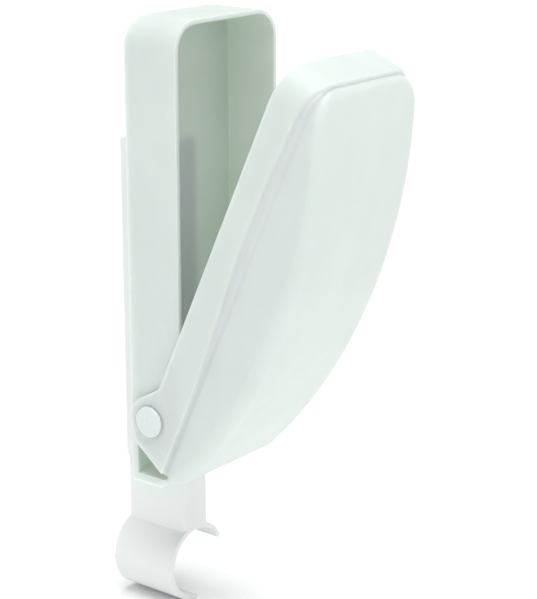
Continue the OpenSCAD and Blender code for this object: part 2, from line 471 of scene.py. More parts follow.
@dataclass(frozen=True)
class MouldedPlastic:
    """Injection-moulded polypropylene with a fine spark-eroded texture.

    The texture gives a satin sheen with no sharp reflections, and thin walls let a
    little light through.

    Attributes:
        name: The material's name.
        pale: Hex colour of the paler cloudy patches.
        deep: Hex colour of the deeper ones.
        rough_low: Roughness of the smoother patches.
        rough_high: Roughness of the duller ones.
        grain: Size of the spark texture, in millimetres.
        cloud: Size of the cloudy patches, in millimetres.
        flow: Size of the flow marks along X, Y and Z, in millimetres.
        scuff: Size of the duller patches, in millimetres.
        relief: Strength of the texture's bump.
        glow: Share of light that scatters under the surface.
        depths: How deep red, green and blue go, as shares of the reach.
        reach: How far light goes under the surface, in millimetres.
    """

    name: str
    pale: str
    deep: str
    rough_low: float = 0.36
    rough_high: float = 0.5
    grain: float = 0.35
    cloud: float = 26.32
    flow: Point3 = (11.11, 11.11, 71.43)
    scuff: float = 6.25
    relief: float = 0.06
    glow: float = 0.0
    depths: tuple[float, float, float] = (0.9, 1.0, 0.8)
    reach: float = 6.0

    def build(self) -> bpy.types.Material:
        """Makes the material."""
        mat = bpy.data.materials.new(self.name)
        mat.use_nodes = True
        tree = mat.node_tree
        tree.nodes.clear()
        place = add_node(tree, "ShaderNodeTexCoord").outputs["Object"]
        cloud = add_node(
            tree,
            "ShaderNodeTexNoise",
            Vector=place,
            Scale=per_metre(self.cloud),
            Detail=3.0,
            Roughness=0.55,
        )
        flow_map = add_node(
            tree,
            "ShaderNodeMapping",
            Vector=place,
            Scale=tuple(per_metre(size) for size in self.flow),
        )
        flow = add_node(
            tree, "ShaderNodeTexNoise", Vector=flow_map.outputs[0], Scale=1.0, Detail=2.0
        )
        mixed = add_node(
            tree,
            "ShaderNodeMath",
            {"operation": "MULTIPLY_ADD"},
            in0=flow.outputs[0],
            in1=0.45,
            in2=cloud.outputs[0],
        )
        tone = ramp(tree, mixed.outputs[0], ((0.45, self.deep), (1.0, self.pale)))
        spark = add_node(
            tree,
            "ShaderNodeTexNoise",
            Vector=place,
            Scale=per_metre(self.grain),
            Detail=2.0,
            Roughness=0.6,
        )
        scuff = add_node(
            tree,
            "ShaderNodeTexNoise",
            Vector=place,
            Scale=per_metre(self.scuff),
            Detail=4.0,
            Roughness=0.7,
        )
        rough = add_node(
            tree,
            "ShaderNodeMapRange",
            Value=scuff.outputs[0],
            From_Min=0.3,
            From_Max=0.7,
            To_Min=self.rough_low,
            To_Max=self.rough_high,
        )
        bump = add_node(
            tree,
            "ShaderNodeBump",
            Strength=self.relief,
            Distance=0.00005,
            Height=spark.outputs[0],
        )
        shader = add_node(
            tree,
            "ShaderNodeBsdfPrincipled",
            Base_Color=tone.outputs[0],
            Roughness=rough.outputs[0],
            Normal=bump.outputs[0],
            IOR=1.49,
            Specular_IOR_Level=0.45,
        )
        if self.glow:
            shader.inputs["Subsurface Weight"].default_value = self.glow
            shader.inputs["Subsurface Radius"].default_value = self.depths
            shader.inputs["Subsurface Scale"].default_value = self.reach * MM
        add_node(tree, "ShaderNodeOutputMaterial", Surface=shader.outputs[0])
        return mat


@dataclass(frozen=True)
class ZincSteel:
    """Bright zinc-plated steel with fine turning lines.

    The plating gives a bright, slightly patchy metal.

    Attributes:
        name: The material's name.
        bright: Hex colour of the bright patches.
        dull: Hex colour of the duller ones.
        patch: Size of the patches, in millimetres.
        line: Size of the turning lines along X, Y and Z, in millimetres.
    """

    name: str
    bright: str = "#d3d6d9"
    dull: str = "#b4b8bb"
    patch: float = 2.381
    line: Point3 = (0.16667, 2.0, 2.0)

    def build(self) -> bpy.types.Material:
        """Makes the material."""
        mat = bpy.data.materials.new(self.name)
        mat.use_nodes = True
        tree = mat.node_tree
        tree.nodes.clear()
        place = add_node(tree, "ShaderNodeTexCoord").outputs["Object"]
        patch = add_node(
            tree, "ShaderNodeTexNoise", Vector=place, Scale=per_metre(self.patch), Detail=4.0
        )
        tone = ramp(tree, patch.outputs[0], ((0.35, self.dull), (0.7, self.bright)))
        lines_map = add_node(
            tree,
            "ShaderNodeMapping",
            Vector=place,
            Scale=tuple(per_metre(size) for size in self.line),
        )
        lines = add_node(
            tree, "ShaderNodeTexNoise", Vector=lines_map.outputs[0], Scale=1.0, Detail=2.0
        )
        rough = add_node(
            tree,
            "ShaderNodeMapRange",
            Value=patch.outputs[0],
            From_Min=0.3,
            From_Max=0.7,
            To_Min=0.24,
            To_Max=0.4,
        )
        bump = add_node(
            tree, "ShaderNodeBump", Strength=0.12, Distance=0.00004, Height=lines.outputs[0]
        )
        shader = add_node(
            tree,
            "ShaderNodeBsdfPrincipled",
            Base_Color=tone.outputs[0],
            Metallic=1.0,
            Roughness=rough.outputs[0],
            Normal=bump.outputs[0],
        )
        add_node(tree, "ShaderNodeOutputMaterial", Surface=shader.outputs[0])
        return mat


@dataclass(frozen=True)
class PaleFloor:
    """Matt white studio paper.

    Attributes:
        name: The material's name.
        colour: Hex colour of the paper.
        shade: Hex colour of its slightly darker patches.
        fibre: Size of the patches, in millimetres.
    """

    name: str = "studio_paper"
    colour: str = "#fbfbfb"
    shade: str = "#f9f9f9"
    fibre: float = 33.33

    def build(self) -> bpy.types.Material:
        """Makes the material."""
        mat = bpy.data.materials.new(self.name)
        mat.use_nodes = True
        tree = mat.node_tree
        tree.nodes.clear()
        place = add_node(tree, "ShaderNodeTexCoord").outputs["Object"]
        fibre = add_node(
            tree, "ShaderNodeTexNoise", Vector=place, Scale=per_metre(self.fibre), Detail=3.0
        )
        tone = ramp(tree, fibre.outputs[0], ((0.3, self.shade), (0.7, self.colour)))
        shader = add_node(
            tree, "ShaderNodeBsdfPrincipled", Base_Color=tone.outputs[0], Roughness=0.95
        )
        add_node(tree, "ShaderNodeOutputMaterial", Surface=shader.outputs[0])
        return mat


# ---- Geometry Nodes --------------------------------------------------------


@dataclass(frozen=True)
class Repeat:
    """Copies of one piece at even steps along a line, by Geometry Nodes.

    Attributes:
        name: The node tree's name.
        count: Number of copies.
        start: Place of the first copy, in metres.
        step: From each copy to the next, in metres.
        turn: Further turn about Z of each copy, in degrees.
    """

    name: str
    count: int
    start: Point3
    step: Point3
    turn: float = 0.0

    def apply(self, source: bpy.types.Object, material: bpy.types.Material) -> bpy.types.Object:
        """Repeats a piece and gives it its material.

        Args:
            source: The single piece, which is used up.
            material: The material of every copy.

        Returns:
            One object with all the copies, as a plain mesh.
        """
        tree = bpy.data.node_groups.new(self.name, "GeometryNodeTree")
        face = tree.interface
        face.new_socket("Geometry", in_out="OUTPUT", socket_type="NodeSocketGeometry")
        face.new_socket("Geometry", in_out="INPUT", socket_type="NodeSocketGeometry")
        sockets = {
            "Count": face.new_socket("Count", in_out="INPUT", socket_type="NodeSocketInt"),
            "Start": face.new_socket("Start", in_out="INPUT", socket_type="NodeSocketVector"),
            "Step": face.new_socket("Step", in_out="INPUT", socket_type="NodeSocketVector"),
            "Turn": face.new_socket("Turn", in_out="INPUT", socket_type="NodeSocketFloat"),
            "Finish": face.new_socket("Finish", in_out="INPUT", socket_type="NodeSocketMaterial"),
        }
        given = add_node(tree, "NodeGroupInput")
        line = add_node(
            tree,
            "GeometryNodeMeshLine",
            {"mode": "OFFSET"},
            Count=given.outputs["Count"],
            Start_Location=given.outputs["Start"],
            Offset=given.outputs["Step"],
        )
        index = add_node(tree, "GeometryNodeInputIndex")
        angle = add_node(
            tree,
            "ShaderNodeMath",
            {"operation": "MULTIPLY"},
            in0=index.outputs[0],
            in1=given.outputs["Turn"],
        )
        spin = add_node(tree, "ShaderNodeCombineXYZ", Z=angle.outputs[0])
        copies = add_node(
            tree,
            "GeometryNodeInstanceOnPoints",
            Points=line.outputs[0],
            Instance=given.outputs["Geometry"],
            Rotation=spin.outputs[0],
        )
        real = add_node(tree, "GeometryNodeRealizeInstances", Geometry=copies.outputs[0])
        dressed = add_node(
            tree,
            "GeometryNodeSetMaterial",
            Geometry=real.outputs[0],
            Material=given.outputs["Finish"],
        )
        add_node(tree, "NodeGroupOutput", Geometry=dressed.outputs[0])
        mod = source.modifiers.new("repeat", "NODES")
        mod.node_group = tree
        values = {
            "Count": self.count,
            "Start": self.start,
            "Step": self.step,
            "Turn": math.radians(self.turn),
            "Finish": material,
        }
        for key, value in values.items():
            mod[sockets[key].identifier] = value
        baked(source)
        bpy.data.node_groups.remove(tree)
        return source


# ---- pieces ----------------------------------------------------------------


def dress(
    obj: bpy.types.Object, material: bpy.types.Material, slot: str, body: str, *nodes: str
) -> bpy.types.Object:
    """Gives a finished piece its material and its place in the frame.

    Args:
        obj: The piece.
        material: Its material.
        slot: Not used.
        body: The body it moves with.
        nodes: The CAD nodes it stands for.

    Returns:
        The piece.
    """
    obj.data.materials.clear()
    obj.data.materials.append(material)
    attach(obj, body)
    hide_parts(*nodes)
    LOG.info("%s: %d faces, rides on %s", obj.name, len(obj.data.polygons), body)
    return obj


@dataclass
class Datum:
    """Sizes that the sub-assemblies share, in millimetres.

    Attributes:
        rear_y: Rear face of the clip and the spine.
        tray_back_y: Rear face of the tray, where it seats on the spine.
        tray_front_y: Front edge of the tray's walls.
        tray_low_z: Underside of the tray's floor.
        tray_top_z: Top of the tray's arch.
        pivot_y: Place of the pivot along Y.
        pivot_z: Height of the pivot.
        open_angle: How far the cover stands open at rest, in degrees.
        screw_z: Heights of the two screws.
        screw_hole: Radius of their holes.
    """

    rear_y: float = 13.3
    tray_back_y: float = -7.2
    tray_front_y: float = -28.8
    tray_low_z: float = 38.5
    tray_top_z: float = 196.5
    pivot_y: float = -17.2
    pivot_z: float = 62.2
    open_angle: float = 24.4
    screw_z: tuple[float, float] = (58.5, 82.5)
    screw_hole: float = 1.53


@dataclass
class ClipBracket:
    """The push-on clip, neck and spine, moulded in one.

    Attributes:
        datum: The shared sizes.
        tube_r: Inner radius of the clip.
        wall: Its wall.
        upper_end: Angle of the ring's upper end above X, in degrees.
        wrap: How far the ring goes round, in degrees.
        lip_out: How far outside the wall's middle the rolled lips stand.
        lip_trim: Angle the outer wall gives up to each lip.
        lip_bite: Angle the inner wall gives up to each lip.
        neck_w: Width of the neck.
        spine_w: Width of the spine.
        spine_h: Its height above the tray's underside.
        corner: Radius of the upright corners.
        chamfer: Slope at the spine's top rear edge.
        lap: How far joined shapes and cuts overlap.
        neck_low: Height at which the neck starts inside the ring.
        hole_end: Where the screw holes end, along Y.
        ring_chords: Chords round the ring.
        bore_chords: Chords round the bore.
        soft: Width of the softened edges.
    """

    datum: Datum
    tube_r: float = 12.5
    wall: float = 1.8
    upper_end: float = 27.0
    wrap: float = 238.0
    lip_out: float = 0.1
    lip_trim: float = 1.5
    lip_bite: float = 0.5
    neck_w: float = 12.6
    spine_w: float = 15.2
    spine_h: float = 114.0
    corner: float = 1.6
    chamfer: float = 1.5
    lap: float = 1.0
    neck_low: float = 2.0
    hole_end: float = 1.8
    ring_chords: int = 84
    bore_chords: int = 96
    soft: float = 0.45

    def ring_outline(self) -> list[Point2]:
        """The C-shaped section of the clip, with rolled lips."""
        r0, r1 = self.tube_r, self.tube_r + self.wall
        mid = (r0 + r1) / 2
        a0, a1 = self.upper_end, self.upper_end + self.wrap
        bead = self.wall / 2
        lips = []
        for a, way in ((a1, 1), (a0, -1)):
            c = math.radians(a)
            r = mid + self.lip_out
            centre = (r * math.cos(c), r * math.sin(c))
            first = a if way > 0 else a + 180
            lips.append(arc(centre[0], centre[1], bead, first, first + 180, 10))
        outer = arc(0, 0, r1, a0 + self.lip_trim, a1 - self.lip_trim, self.ring_chords)
        inner = arc(0, 0, r0, a1 - self.lip_bite, a0 + self.lip_bite, self.ring_chords)
        return [*outer, *lips[0], *inner, *lips[1]]

    def build(self) -> bpy.types.Object:
        """Makes the bracket's mesh."""
        d = self.datum
        half = d.rear_y
        solid = prism("clip_bracket_piece", Plane.XZ, self.ring_outline(), -half, half)
        neck = prism(
            "neck",
            Plane.XY,
            rounded_outline(-self.neck_w / 2, self.neck_w / 2, -half, half, self.corner),
            self.neck_low,
            d.tray_low_z,
        )
        middle = self.tube_r + self.wall / 2
        round_bore = arc(0, 0, middle, 0, 360, self.bore_chords)[:-1]
        bore = prism("bore", Plane.XZ, round_bore, -THROUGH, THROUGH)
        combine(neck, Cut.DIFFERENCE, bore)
        spine = prism(
            "spine",
            Plane.XY,
            rounded_outline(-self.spine_w / 2, self.spine_w / 2, d.tray_back_y, half, self.corner),
            d.tray_low_z - self.lap,
            d.tray_low_z + self.spine_h,
        )
        top = d.tray_low_z + self.spine_h
        slope = prism(
            "slope",
            Plane.YZ,
            [
                (half - self.chamfer, top),
                (half, top - self.chamfer),
                (half + 2 * self.chamfer, top - self.chamfer),
                (half + 2 * self.chamfer, top + 2 * self.chamfer),
                (half - self.chamfer, top + 2 * self.chamfer),
            ],
            -THROUGH,
            THROUGH,
        )
        combine(spine, Cut.DIFFERENCE, slope)
        combine(solid, Cut.UNION, neck, spine)
        for z in d.screw_z:
            hole = prism(
                "hole",
                Plane.XZ,
                arc(0, z, d.screw_hole, 0, 360, SCREW_CHORDS)[:-1],
                d.tray_back_y - self.lap,
                self.hole_end,
            )
            combine(solid, Cut.DIFFERENCE, hole)
        return shaded(trimmed(soften(solid, self.soft, 3, 42)))


@dataclass
class RearShell:
    """The shallow tray, fixed to the spine.

    Attributes:
        datum: The shared sizes.
        width: Width over the side walls.
        wall: Thickness of the sides and the top.
        back: Thickness of the back.
        floor: Thickness of the floor.
        corner: Radius of the two top corners.
        ear: Radius of the wall round each pivot hole.
        strip: Side wall left in front of the back, below the ears.
        floor_front: Front edge of the floor, along Y.
        floor_chamfer: Slope under that edge.
        over: How far a cut goes past a face.
        clear: How far the floor's cut goes above the floor.
        pin_hole: Radius of the pivot holes.
        soft: Width of the softened edges.
    """

    datum: Datum
    width: float = 52.6
    wall: float = 1.6
    back: float = 2.0
    floor: float = 3.0
    corner: float = 10.0
    ear: float = 10.4
    strip: float = 2.5
    floor_front: float = -21.5
    floor_chamfer: float = 1.4
    over: float = 2.0
    clear: float = 0.3
    pin_hole: float = 2.53
    soft: float = 0.4

    def window_outline(self) -> list[Point2]:
        """The opening in each side wall, in Y and Z, below and before the ear."""
        d = self.datum
        low = d.tray_low_z + self.floor
        back = d.tray_back_y - self.strip
        front = d.tray_front_y - 1.5 * self.over
        join = d.pivot_z - self.ear
        ear = arc(d.pivot_y, d.pivot_z, self.ear, 270, 165, 28)
        last = ear[-1]
        return [(front, low), (back, low), (back, join), *ear, (front, last[1])]

    def build(self) -> bpy.types.Object:
        """Makes the shell's mesh."""
        d = self.datum
        solid = prism(
            "rear_shell_piece",
            Plane.XZ,
            arch_outline(self.width, d.tray_low_z, d.tray_top_z, self.corner),
            d.tray_front_y,
            d.tray_back_y,
        )
        room = prism(
            "room",
            Plane.XZ,
            arch_outline(
                self.width - 2 * self.wall,
                d.tray_low_z + self.floor,
                d.tray_top_z - self.wall,
                self.corner - self.wall,
            ),
            d.tray_front_y - self.over,
            d.tray_back_y - self.back,
        )
        window = prism("window", Plane.YZ, self.window_outline(), -THROUGH, THROUGH)
        c = self.floor_chamfer
        low = d.tray_low_z
        stop = prism(
            "stop",
            Plane.YZ,
            [
                (d.tray_front_y - self.over, low - self.over),
                (self.floor_front + c, low - self.over),
                (self.floor_front + c, low),
                (self.floor_front, low + c),
                (self.floor_front, low + self.floor + self.clear),
                (d.tray_front_y - self.over, low + self.floor + self.clear),
            ],
            -THROUGH,
            THROUGH,
        )
        round_pin = arc(d.pivot_y, d.pivot_z, self.pin_hole, 0, 360, PIN_CHORDS)[:-1]
        pin = prism("pin", Plane.YZ, round_pin, -THROUGH, THROUGH)
        combine(solid, Cut.DIFFERENCE, room)
        combine(solid, Cut.DIFFERENCE, window)
        combine(solid, Cut.DIFFERENCE, stop)
        combine(solid, Cut.DIFFERENCE, pin)
        for z in d.screw_z:
            hole = prism(
                "hole",
                Plane.XZ,
                arc(0, z, d.screw_hole, 0, 360, SCREW_CHORDS)[:-1],
                d.tray_back_y - 2 * self.over,
                d.tray_back_y + self.over,
            )
            combine(solid, Cut.DIFFERENCE, hole)
        return soften(solid, self.soft, 3, 40)


@dataclass
class FrontShell:
    """The hinged domed cover, drawn closed about the pivot and then opened.

    Attributes:
        datum: The shared sizes.
        skirt_x: Half the width over the skirt.
        top_z: Top of the arch above the pivot.
        corner: Radius of the arch's two corners.
        wall: Thickness of the wall.
        rim_y: Rear edge of the skirt.
        front_y: The tray's front plane.
        top_depth: How far the face stands before that plane at the top.
        heel_depth: The same at the heel.
        dome_depth: The same where the face is deepest.
        heel_drop: How far the heel lies below the pivot.
        heel_slope: Slope of the bottom edge, in degrees.
        heel_round: Radius of the heel seen from the side.
        heel_rows: Rows round the heel.
        lip_rows: Rows along the underside, before the heel.
        lip_y: Rear end of the underside.
        heel_rear: Rear end of the arm's bottom edge.
        ear: Radius of the arm round the pivot.
        blend_z: Height at which the ear's tangent meets the rim.
        step: How far the dome stands in from the skirt.
        step_start: How far behind the front plane its second part starts.
        step_run: Length of that part.
        inner_start: The same for the inner wall, whose step starts before the plane.
        inner_run: Length of the inner step.
        least_inner: Least length of the inner step.
        least_run: Least length of the outer step's second part.
        crisp: Part of the step that is taken at the crease.
        crisp_run: Length of that part.
        lead: How far behind the crease a row's close points start.
        tail: How far before the front plane they end.
        sharp_rows: Points across each of the step's two parts.
        crease_low: Height at which the crease starts to bow.
        crease_rise: Height it takes to reach its full bow.
        crease_high: Height at which it starts to straighten.
        crease_bow: Its full bow.
        crease_end: Its bow at the corner.
        edge: Radius of the edge between the sides and the face.
        top_edge: The same along the top.
        lip_edge: The same along the underside.
        least_edge: Least radius of the inner wall's edge.
        edge_rows: Points round the edge.
        corner_rows: Rows round each corner of the arch.
        columns: Strips across the face.
        near_rows: Places of the first points behind the step, as shares.
        fine_row: Height of the rows round the ear.
        coarse_row: Height of the rows above it.
        spread: Power that draws the rows closer at the foot of the face.
        upright_by: Share of the face over which the rows turn upright.
        narrow_from: Share of the face at which the edge starts to narrow.
        pin_hole: Radius of the pivot holes.
        soft: Width of the softened edges.
        bow: Height, radius and centre along Y of the face's bow.
        heel: Centre of the rounded heel, in Y and Z.
    """

    datum: Datum
    skirt_x: float = 28.3
    top_z: float = 136.65
    corner: float = 12.0
    wall: float = 1.6
    rim_y: float = 1.2
    front_y: float = -11.6
    top_depth: float = 1.6
    heel_depth: float = 5.4
    dome_depth: float = 20.2
    heel_drop: float = 18.8
    heel_slope: float = 22.8
    heel_round: float = 5.0
    heel_rows: int = 16
    lip_rows: int = 3
    lip_y: float = -13.0
    heel_rear: float = 3.0
    ear: float = 8.6
    blend_z: float = 13.0
    step: float = 1.5
    step_start: float = 0.2
    step_run: float = 1.8
    inner_start: float = -0.35
    inner_run: float = 2.05
    least_inner: float = 0.6
    least_run: float = 0.5
    crisp: float = 0.8
    crisp_run: float = 1.2
    lead: float = 0.7
    tail: float = 2.5
    sharp_rows: int = 8
    crease_low: float = 12.0
    crease_rise: float = 70.0
    crease_high: float = 92.0
    crease_bow: float = 3.5
    crease_end: float = 2.3
    edge: float = 4.5
    top_edge: float = 2.8
    lip_edge: float = 2.4
    least_edge: float = 0.5
    edge_rows: int = 8
    corner_rows: int = 14
    columns: int = 16
    near_rows: tuple[float, float, float] = (0.12, 0.45, 0.8)
    fine_row: float = 0.95
    coarse_row: float = 2.6
    spread: float = 1.12
    upright_by: float = 0.2
    narrow_from: float = 0.45
    pin_hole: float = 2.56
    soft: float = 0.4
    bow: tuple[float, float, float] = field(init=False)
    heel: Point2 = field(init=False)

    def __post_init__(self) -> None:
        """Works out the bow of the face and the centre of the rounded heel."""
        rise = self.dome_depth - self.top_depth
        k = math.sqrt(rise / (self.dome_depth - self.heel_depth))
        up = (self.top_z + self.heel_drop) * k / (1 + k)
        radius = (up * up + rise * rise) / (2 * rise)
        self.bow = (self.top_z - up, radius, self.front_y - self.dome_depth + radius)
        deepest, _, axis = self.bow
        slope = math.radians(self.heel_slope)
        qy = self.face_y(-self.heel_drop, 0) - axis - self.heel_round * math.sin(slope)
        qz = -self.heel_drop - deepest + self.heel_round * math.cos(slope)
        run = qy * math.cos(slope) + qz * math.sin(slope)
        reach = radius - self.heel_round
        go = -run - math.sqrt(run * run - qy * qy - qz * qz + reach * reach)
        self.heel = (axis + qy + go * math.cos(slope), deepest + qz + go * math.sin(slope))

    def face_y(self, z: float, inset: float) -> float:
        """Depth of the front face at a height.

        Args:
            z: Height above the pivot.
            inset: Distance in from the outer face.

        Returns:
            The place along Y from the pivot.
        """
        deepest, radius, axis = self.bow
        r = radius - inset
        return axis - math.sqrt(r * r - (z - deepest) ** 2)

    def face_slope(self, z: float) -> float:
        """How fast the face falls back with height."""
        deepest, radius, _ = self.bow
        return (z - deepest) / math.sqrt(radius**2 - (z - deepest) ** 2)

    def bottom_z(self, y: float) -> float:
        """Height of the sloping bottom edge at a depth."""
        end = self.face_y(-self.heel_drop, 0)
        return -self.heel_drop + (y - end) * math.tan(math.radians(self.heel_slope))

    def rear_y(self, z: float) -> float:
        """Place of the rear edge of the side wall, the arm's ear included."""
        upper = tangent_point((self.rim_y, self.blend_z), self.ear, -1)
        lowest = (self.heel_rear, self.bottom_z(self.heel_rear))
        lower = tangent_point(lowest, self.ear, 1)
        if z >= self.blend_z:
            return self.rim_y
        if z > upper[1]:
            t = (z - upper[1]) / (self.blend_z - upper[1])
            return upper[0] + t * (self.rim_y - upper[0])
        if z >= lower[1]:
            return math.sqrt(max(0.0, self.ear**2 - z * z))
        t = (z - lowest[1]) / (lower[1] - lowest[1])
        return lowest[0] + max(0.0, t) * (lower[0] - lowest[0])

    def rear_heights(self) -> list[float]:
        """Heights of the rows at the rear edge, closer together round the ear."""
        high = self.top_z - self.corner
        heights, z = [], self.bottom_z(self.heel_rear)
        while z < high - 1.5:
            heights.append(z)
            z += self.fine_row if z < self.blend_z + 2 else self.coarse_row
        return [*heights, high]

    def front_spots(self, count: int, inset: float) -> list[tuple[Point2, float, float]]:
        """Where the rows of a side meet the face, from the heel's lip upwards.

        Args:
            count: Number of rows.
            inset: Distance in from the outer surface.

        Returns:
            For each row its point in Y and Z, the angle of its outward normal
            below -Y in radians, and the radius of the edge there.
        """
        cy, cz = self.heel
        r = self.heel_round - inset
        slope = math.radians(self.heel_slope)
        last = math.pi / 2 + slope
        deepest, _, axis = self.bow
        first = math.atan2(deepest - cz, axis - cy)
        spots: list[tuple[Point2, float, float]] = []
        for i in range(self.lip_rows):
            y = self.lip_y + (cy + r * math.sin(slope) - self.lip_y) * i / self.lip_rows
            z = self.bottom_z(y) + inset / math.cos(slope)
            spots.append(((y, z), last, self.lip_edge))
        rows = self.heel_rows
        for i in range(rows + 1):
            b = last + (first - last) * i / rows
            e = self.lip_edge + (self.edge - self.lip_edge) * smoothstep(i / rows)
            spots.append(((cy - r * math.cos(b), cz - r * math.sin(b)), b, e))
        z0 = spots[-1][0][1]
        high = self.top_z - self.corner
        left = count - len(spots)
        for i in range(1, left + 1):
            t = i / left
            z = z0 + (high - z0) * t**self.spread
            b = first * (1 - smoothstep(t / self.upright_by))
            narrow = smoothstep((t - self.narrow_from) / (1 - self.narrow_from))
            e = self.edge + (self.top_edge - self.edge) * narrow
            spots.append(((self.face_y(z, inset), z), b, e))
        return spots

    def crease(self, z: float) -> float:
        """How far behind the tray's front plane the step's crease lies.

        Args:
            z: Height above the pivot.

        Returns:
            The distance, in millimetres.
        """
        rise = smoothstep((z - self.crease_low) / self.crease_rise)
        ease = smoothstep((z - self.crease_high) / (self.top_z - self.corner - self.crease_high))
        return self.crease_bow * rise - (self.crease_bow - self.crease_end) * ease

    def steps(self, y: float, face: float, inset: float, crease: float) -> float:
        """How far the wall has stepped in from the skirt.

        Args:
            y: Place along Y.
            face: Where the rounding into the face begins, along Y.
            inset: Distance in from the outer surface.
            crease: How far the crease lies behind the tray's front plane.

        Returns:
            The distance, in millimetres.
        """
        if inset:
            start = self.front_y + self.inner_start
            run = max(self.least_inner, min(self.inner_run, start - face))
            return self.step * smoothstep((start - y) / run)
        first = smoothstep((self.front_y + crease - y) / self.crisp_run + 0.5)
        start = self.front_y + self.step_start
        run = max(self.least_run, min(self.step_run, start - face))
        second = smoothstep((start - y) / run)
        return self.crisp * first + (self.step - self.crisp) * second

    def stops(self, rear: float, face: float, crease: float) -> list[float]:
        """Places along Y at which a row has points, closest together at the step.

        Args:
            rear: Where the row starts.
            face: Where the rounding into the face begins.
            crease: How far the crease lies behind the tray's front plane.

        Returns:
            The places, the last of them at the rounding.
        """
        start = min(self.front_y + crease + self.lead, rear - 0.3)
        end = max(self.front_y - self.tail, face)
        mid = max(end + 0.1, start - 2 * self.lead)
        near = [rear + (start - rear) * t for t in self.near_rows]
        n = self.sharp_rows
        sharp = [start + (mid - start) * i / n for i in range(n)]
        slow = [mid + (end - mid) * i / n for i in range(n + 1)]
        ahead = [end + (face - end) * t for t in (0.5, 1.0)]
        return [*near, *sharp, *slow, *ahead]

    def side_row(
        self, rear: float, spot: tuple[Point2, float, float], inset: float
    ) -> list[Point3]:
        """One row across a side wall: (distance in, Y, Z) from the rim to the face.

        Args:
            rear: Height of its rear end.
            spot: Where it meets the face, from front_spots().
            inset: Distance in from the outer surface.

        Returns:
            The row's points.
        """
        (fy, fz), b, e = spot
        r = max(e - inset, self.least_edge)
        ny, nz = -math.cos(b), -math.sin(b)
        qy, qz = fy - ny * r, fz - nz * r
        ry = self.rear_y(rear)
        row = [(inset, ry, rear)]
        share = min(1.0, (self.front_y - ry) / min(-0.1, qy - ry))
        crease = self.crease(rear + (qz - rear) * share)
        for y in self.stops(ry, qy, crease):
            t = (y - ry) / (qy - ry)
            row.append((inset + self.steps(y, qy, inset, crease), y, rear + (qz - rear) * t))
        base = row[-1][0]
        for i in range(1, self.edge_rows + 1):
            a = math.pi / 2 * i / self.edge_rows
            away = r * (1 - math.sin(a))
            row.append((base + r * (1 - math.cos(a)), fy - ny * away, fz - nz * away))
        return row

    def arch_row(self, part: Arch, t: float, inset: float) -> list[Point2]:
        """One row across a top corner or the top wall, as in side_row().

        Args:
            part: Whether it crosses the corner or the top.
            t: Share of the way round the corner.
            inset: Distance in from the outer surface.

        Returns:
            The row's points as (distance in, Y).
        """
        corner = part is Arch.CORNER
        lean = math.sin(math.pi / 2 * t) if corner else 1.0
        r = max(self.top_edge - inset, self.least_edge)
        z_arc = self.top_z - self.corner
        base = inset + self.step
        for _ in range(3):
            z = z_arc + (self.corner - base - r) * lean
            turn = math.pi / 2 - math.atan(self.face_slope(z) * lean)
            z = z_arc + (self.corner - base - r * (1 - math.cos(turn))) * lean
            q = self.face_y(z, inset) + r * math.sin(turn)
            base = inset + self.steps(q, q, inset, 0.0)
        row = [(inset, self.rim_y)]
        crease = self.crease_end * (1 - smoothstep(t)) if corner else 0.0
        for y in self.stops(self.rim_y, q, crease):
            row.append((inset + self.steps(y, q, inset, crease), y))
        base = row[-1][0]
        for i in range(1, self.edge_rows + 1):
            a = turn * i / self.edge_rows
            row.append((base + r * (1 - math.cos(a)), q - r * math.sin(a)))
        return row

    def surface(self, inset: float) -> list[list[Point3]]:
        """Rows of points from one leg's foot round the arch to the other's.

        Args:
            inset: 0 for the outer surface, the wall for the inner one.

        Returns:
            For each place round the arch, its points from the rim to the face.
        """
        heights = self.rear_heights()
        spots = self.front_spots(len(heights), inset)
        x_arc, z_arc = self.skirt_x - self.corner, self.top_z - self.corner
        arcs, tops = self.corner_rows, self.columns
        left: list[list[Point3]] = []
        for rear, spot in zip(heights, spots):
            left.append([(self.skirt_x - d, y, z) for d, y, z in self.side_row(rear, spot, inset)])
        for i in range(1, arcs + 1):
            a = math.pi / 2 * i / arcs
            row = []
            for d, y in self.arch_row(Arch.CORNER, i / arcs, inset):
                r = self.corner - d
                row.append((x_arc + r * math.cos(a), y, z_arc + r * math.sin(a)))
            left.append(row)
        flat = self.arch_row(Arch.TOP, 1.0, inset)
        middle = [
            [(x_arc * (2 * i / tops - 1), y, self.top_z - d) for d, y in flat]
            for i in range(1, tops)
        ]
        return [[(-x, y, z) for x, y, z in row] for row in left] + middle + left[::-1]

    def skin(self, inset: float) -> Sheet:
        """Joins rows into a sheet and closes the front with the bowed face.

        Args:
            inset: Distance in from the outer surface.

        Returns:
            The sheet.
        """
        rows = self.surface(inset)
        points: list[Point3] = []
        index: list[list[int]] = []
        for row in rows:
            index.append(list(range(len(points), len(points) + len(row))))
            points.extend(row)
        faces = []
        for a, b in zip(index, index[1:]):
            for i in range(len(a) - 1):
                faces.append([a[i], b[i], b[i + 1], a[i + 1]])
        n, cols = len(rows), self.columns
        sides = (n - (cols - 1)) // 2
        last = [r[-1] for r in index]
        lines: list[list[int]] = []
        for k in range(sides - 1):
            left, right = last[k], last[n - 1 - k]
            p, q = points[left], points[right]
            line = [left]
            for j in range(1, cols):
                t = j / cols
                line.append(len(points))
                points.append((p[0] + (q[0] - p[0]) * t, p[1], p[2]))
            lines.append([*line, right])
        lines.append(last[sides - 1 : sides + cols])
        for a, b in zip(lines, lines[1:]):
            for j in range(cols):
                faces.append([a[j], a[j + 1], b[j + 1], b[j]])
        foot = [*index[0], *lines[0][1:-1], *index[-1][::-1]]
        return Sheet(points, faces, [r[0] for r in index], foot)

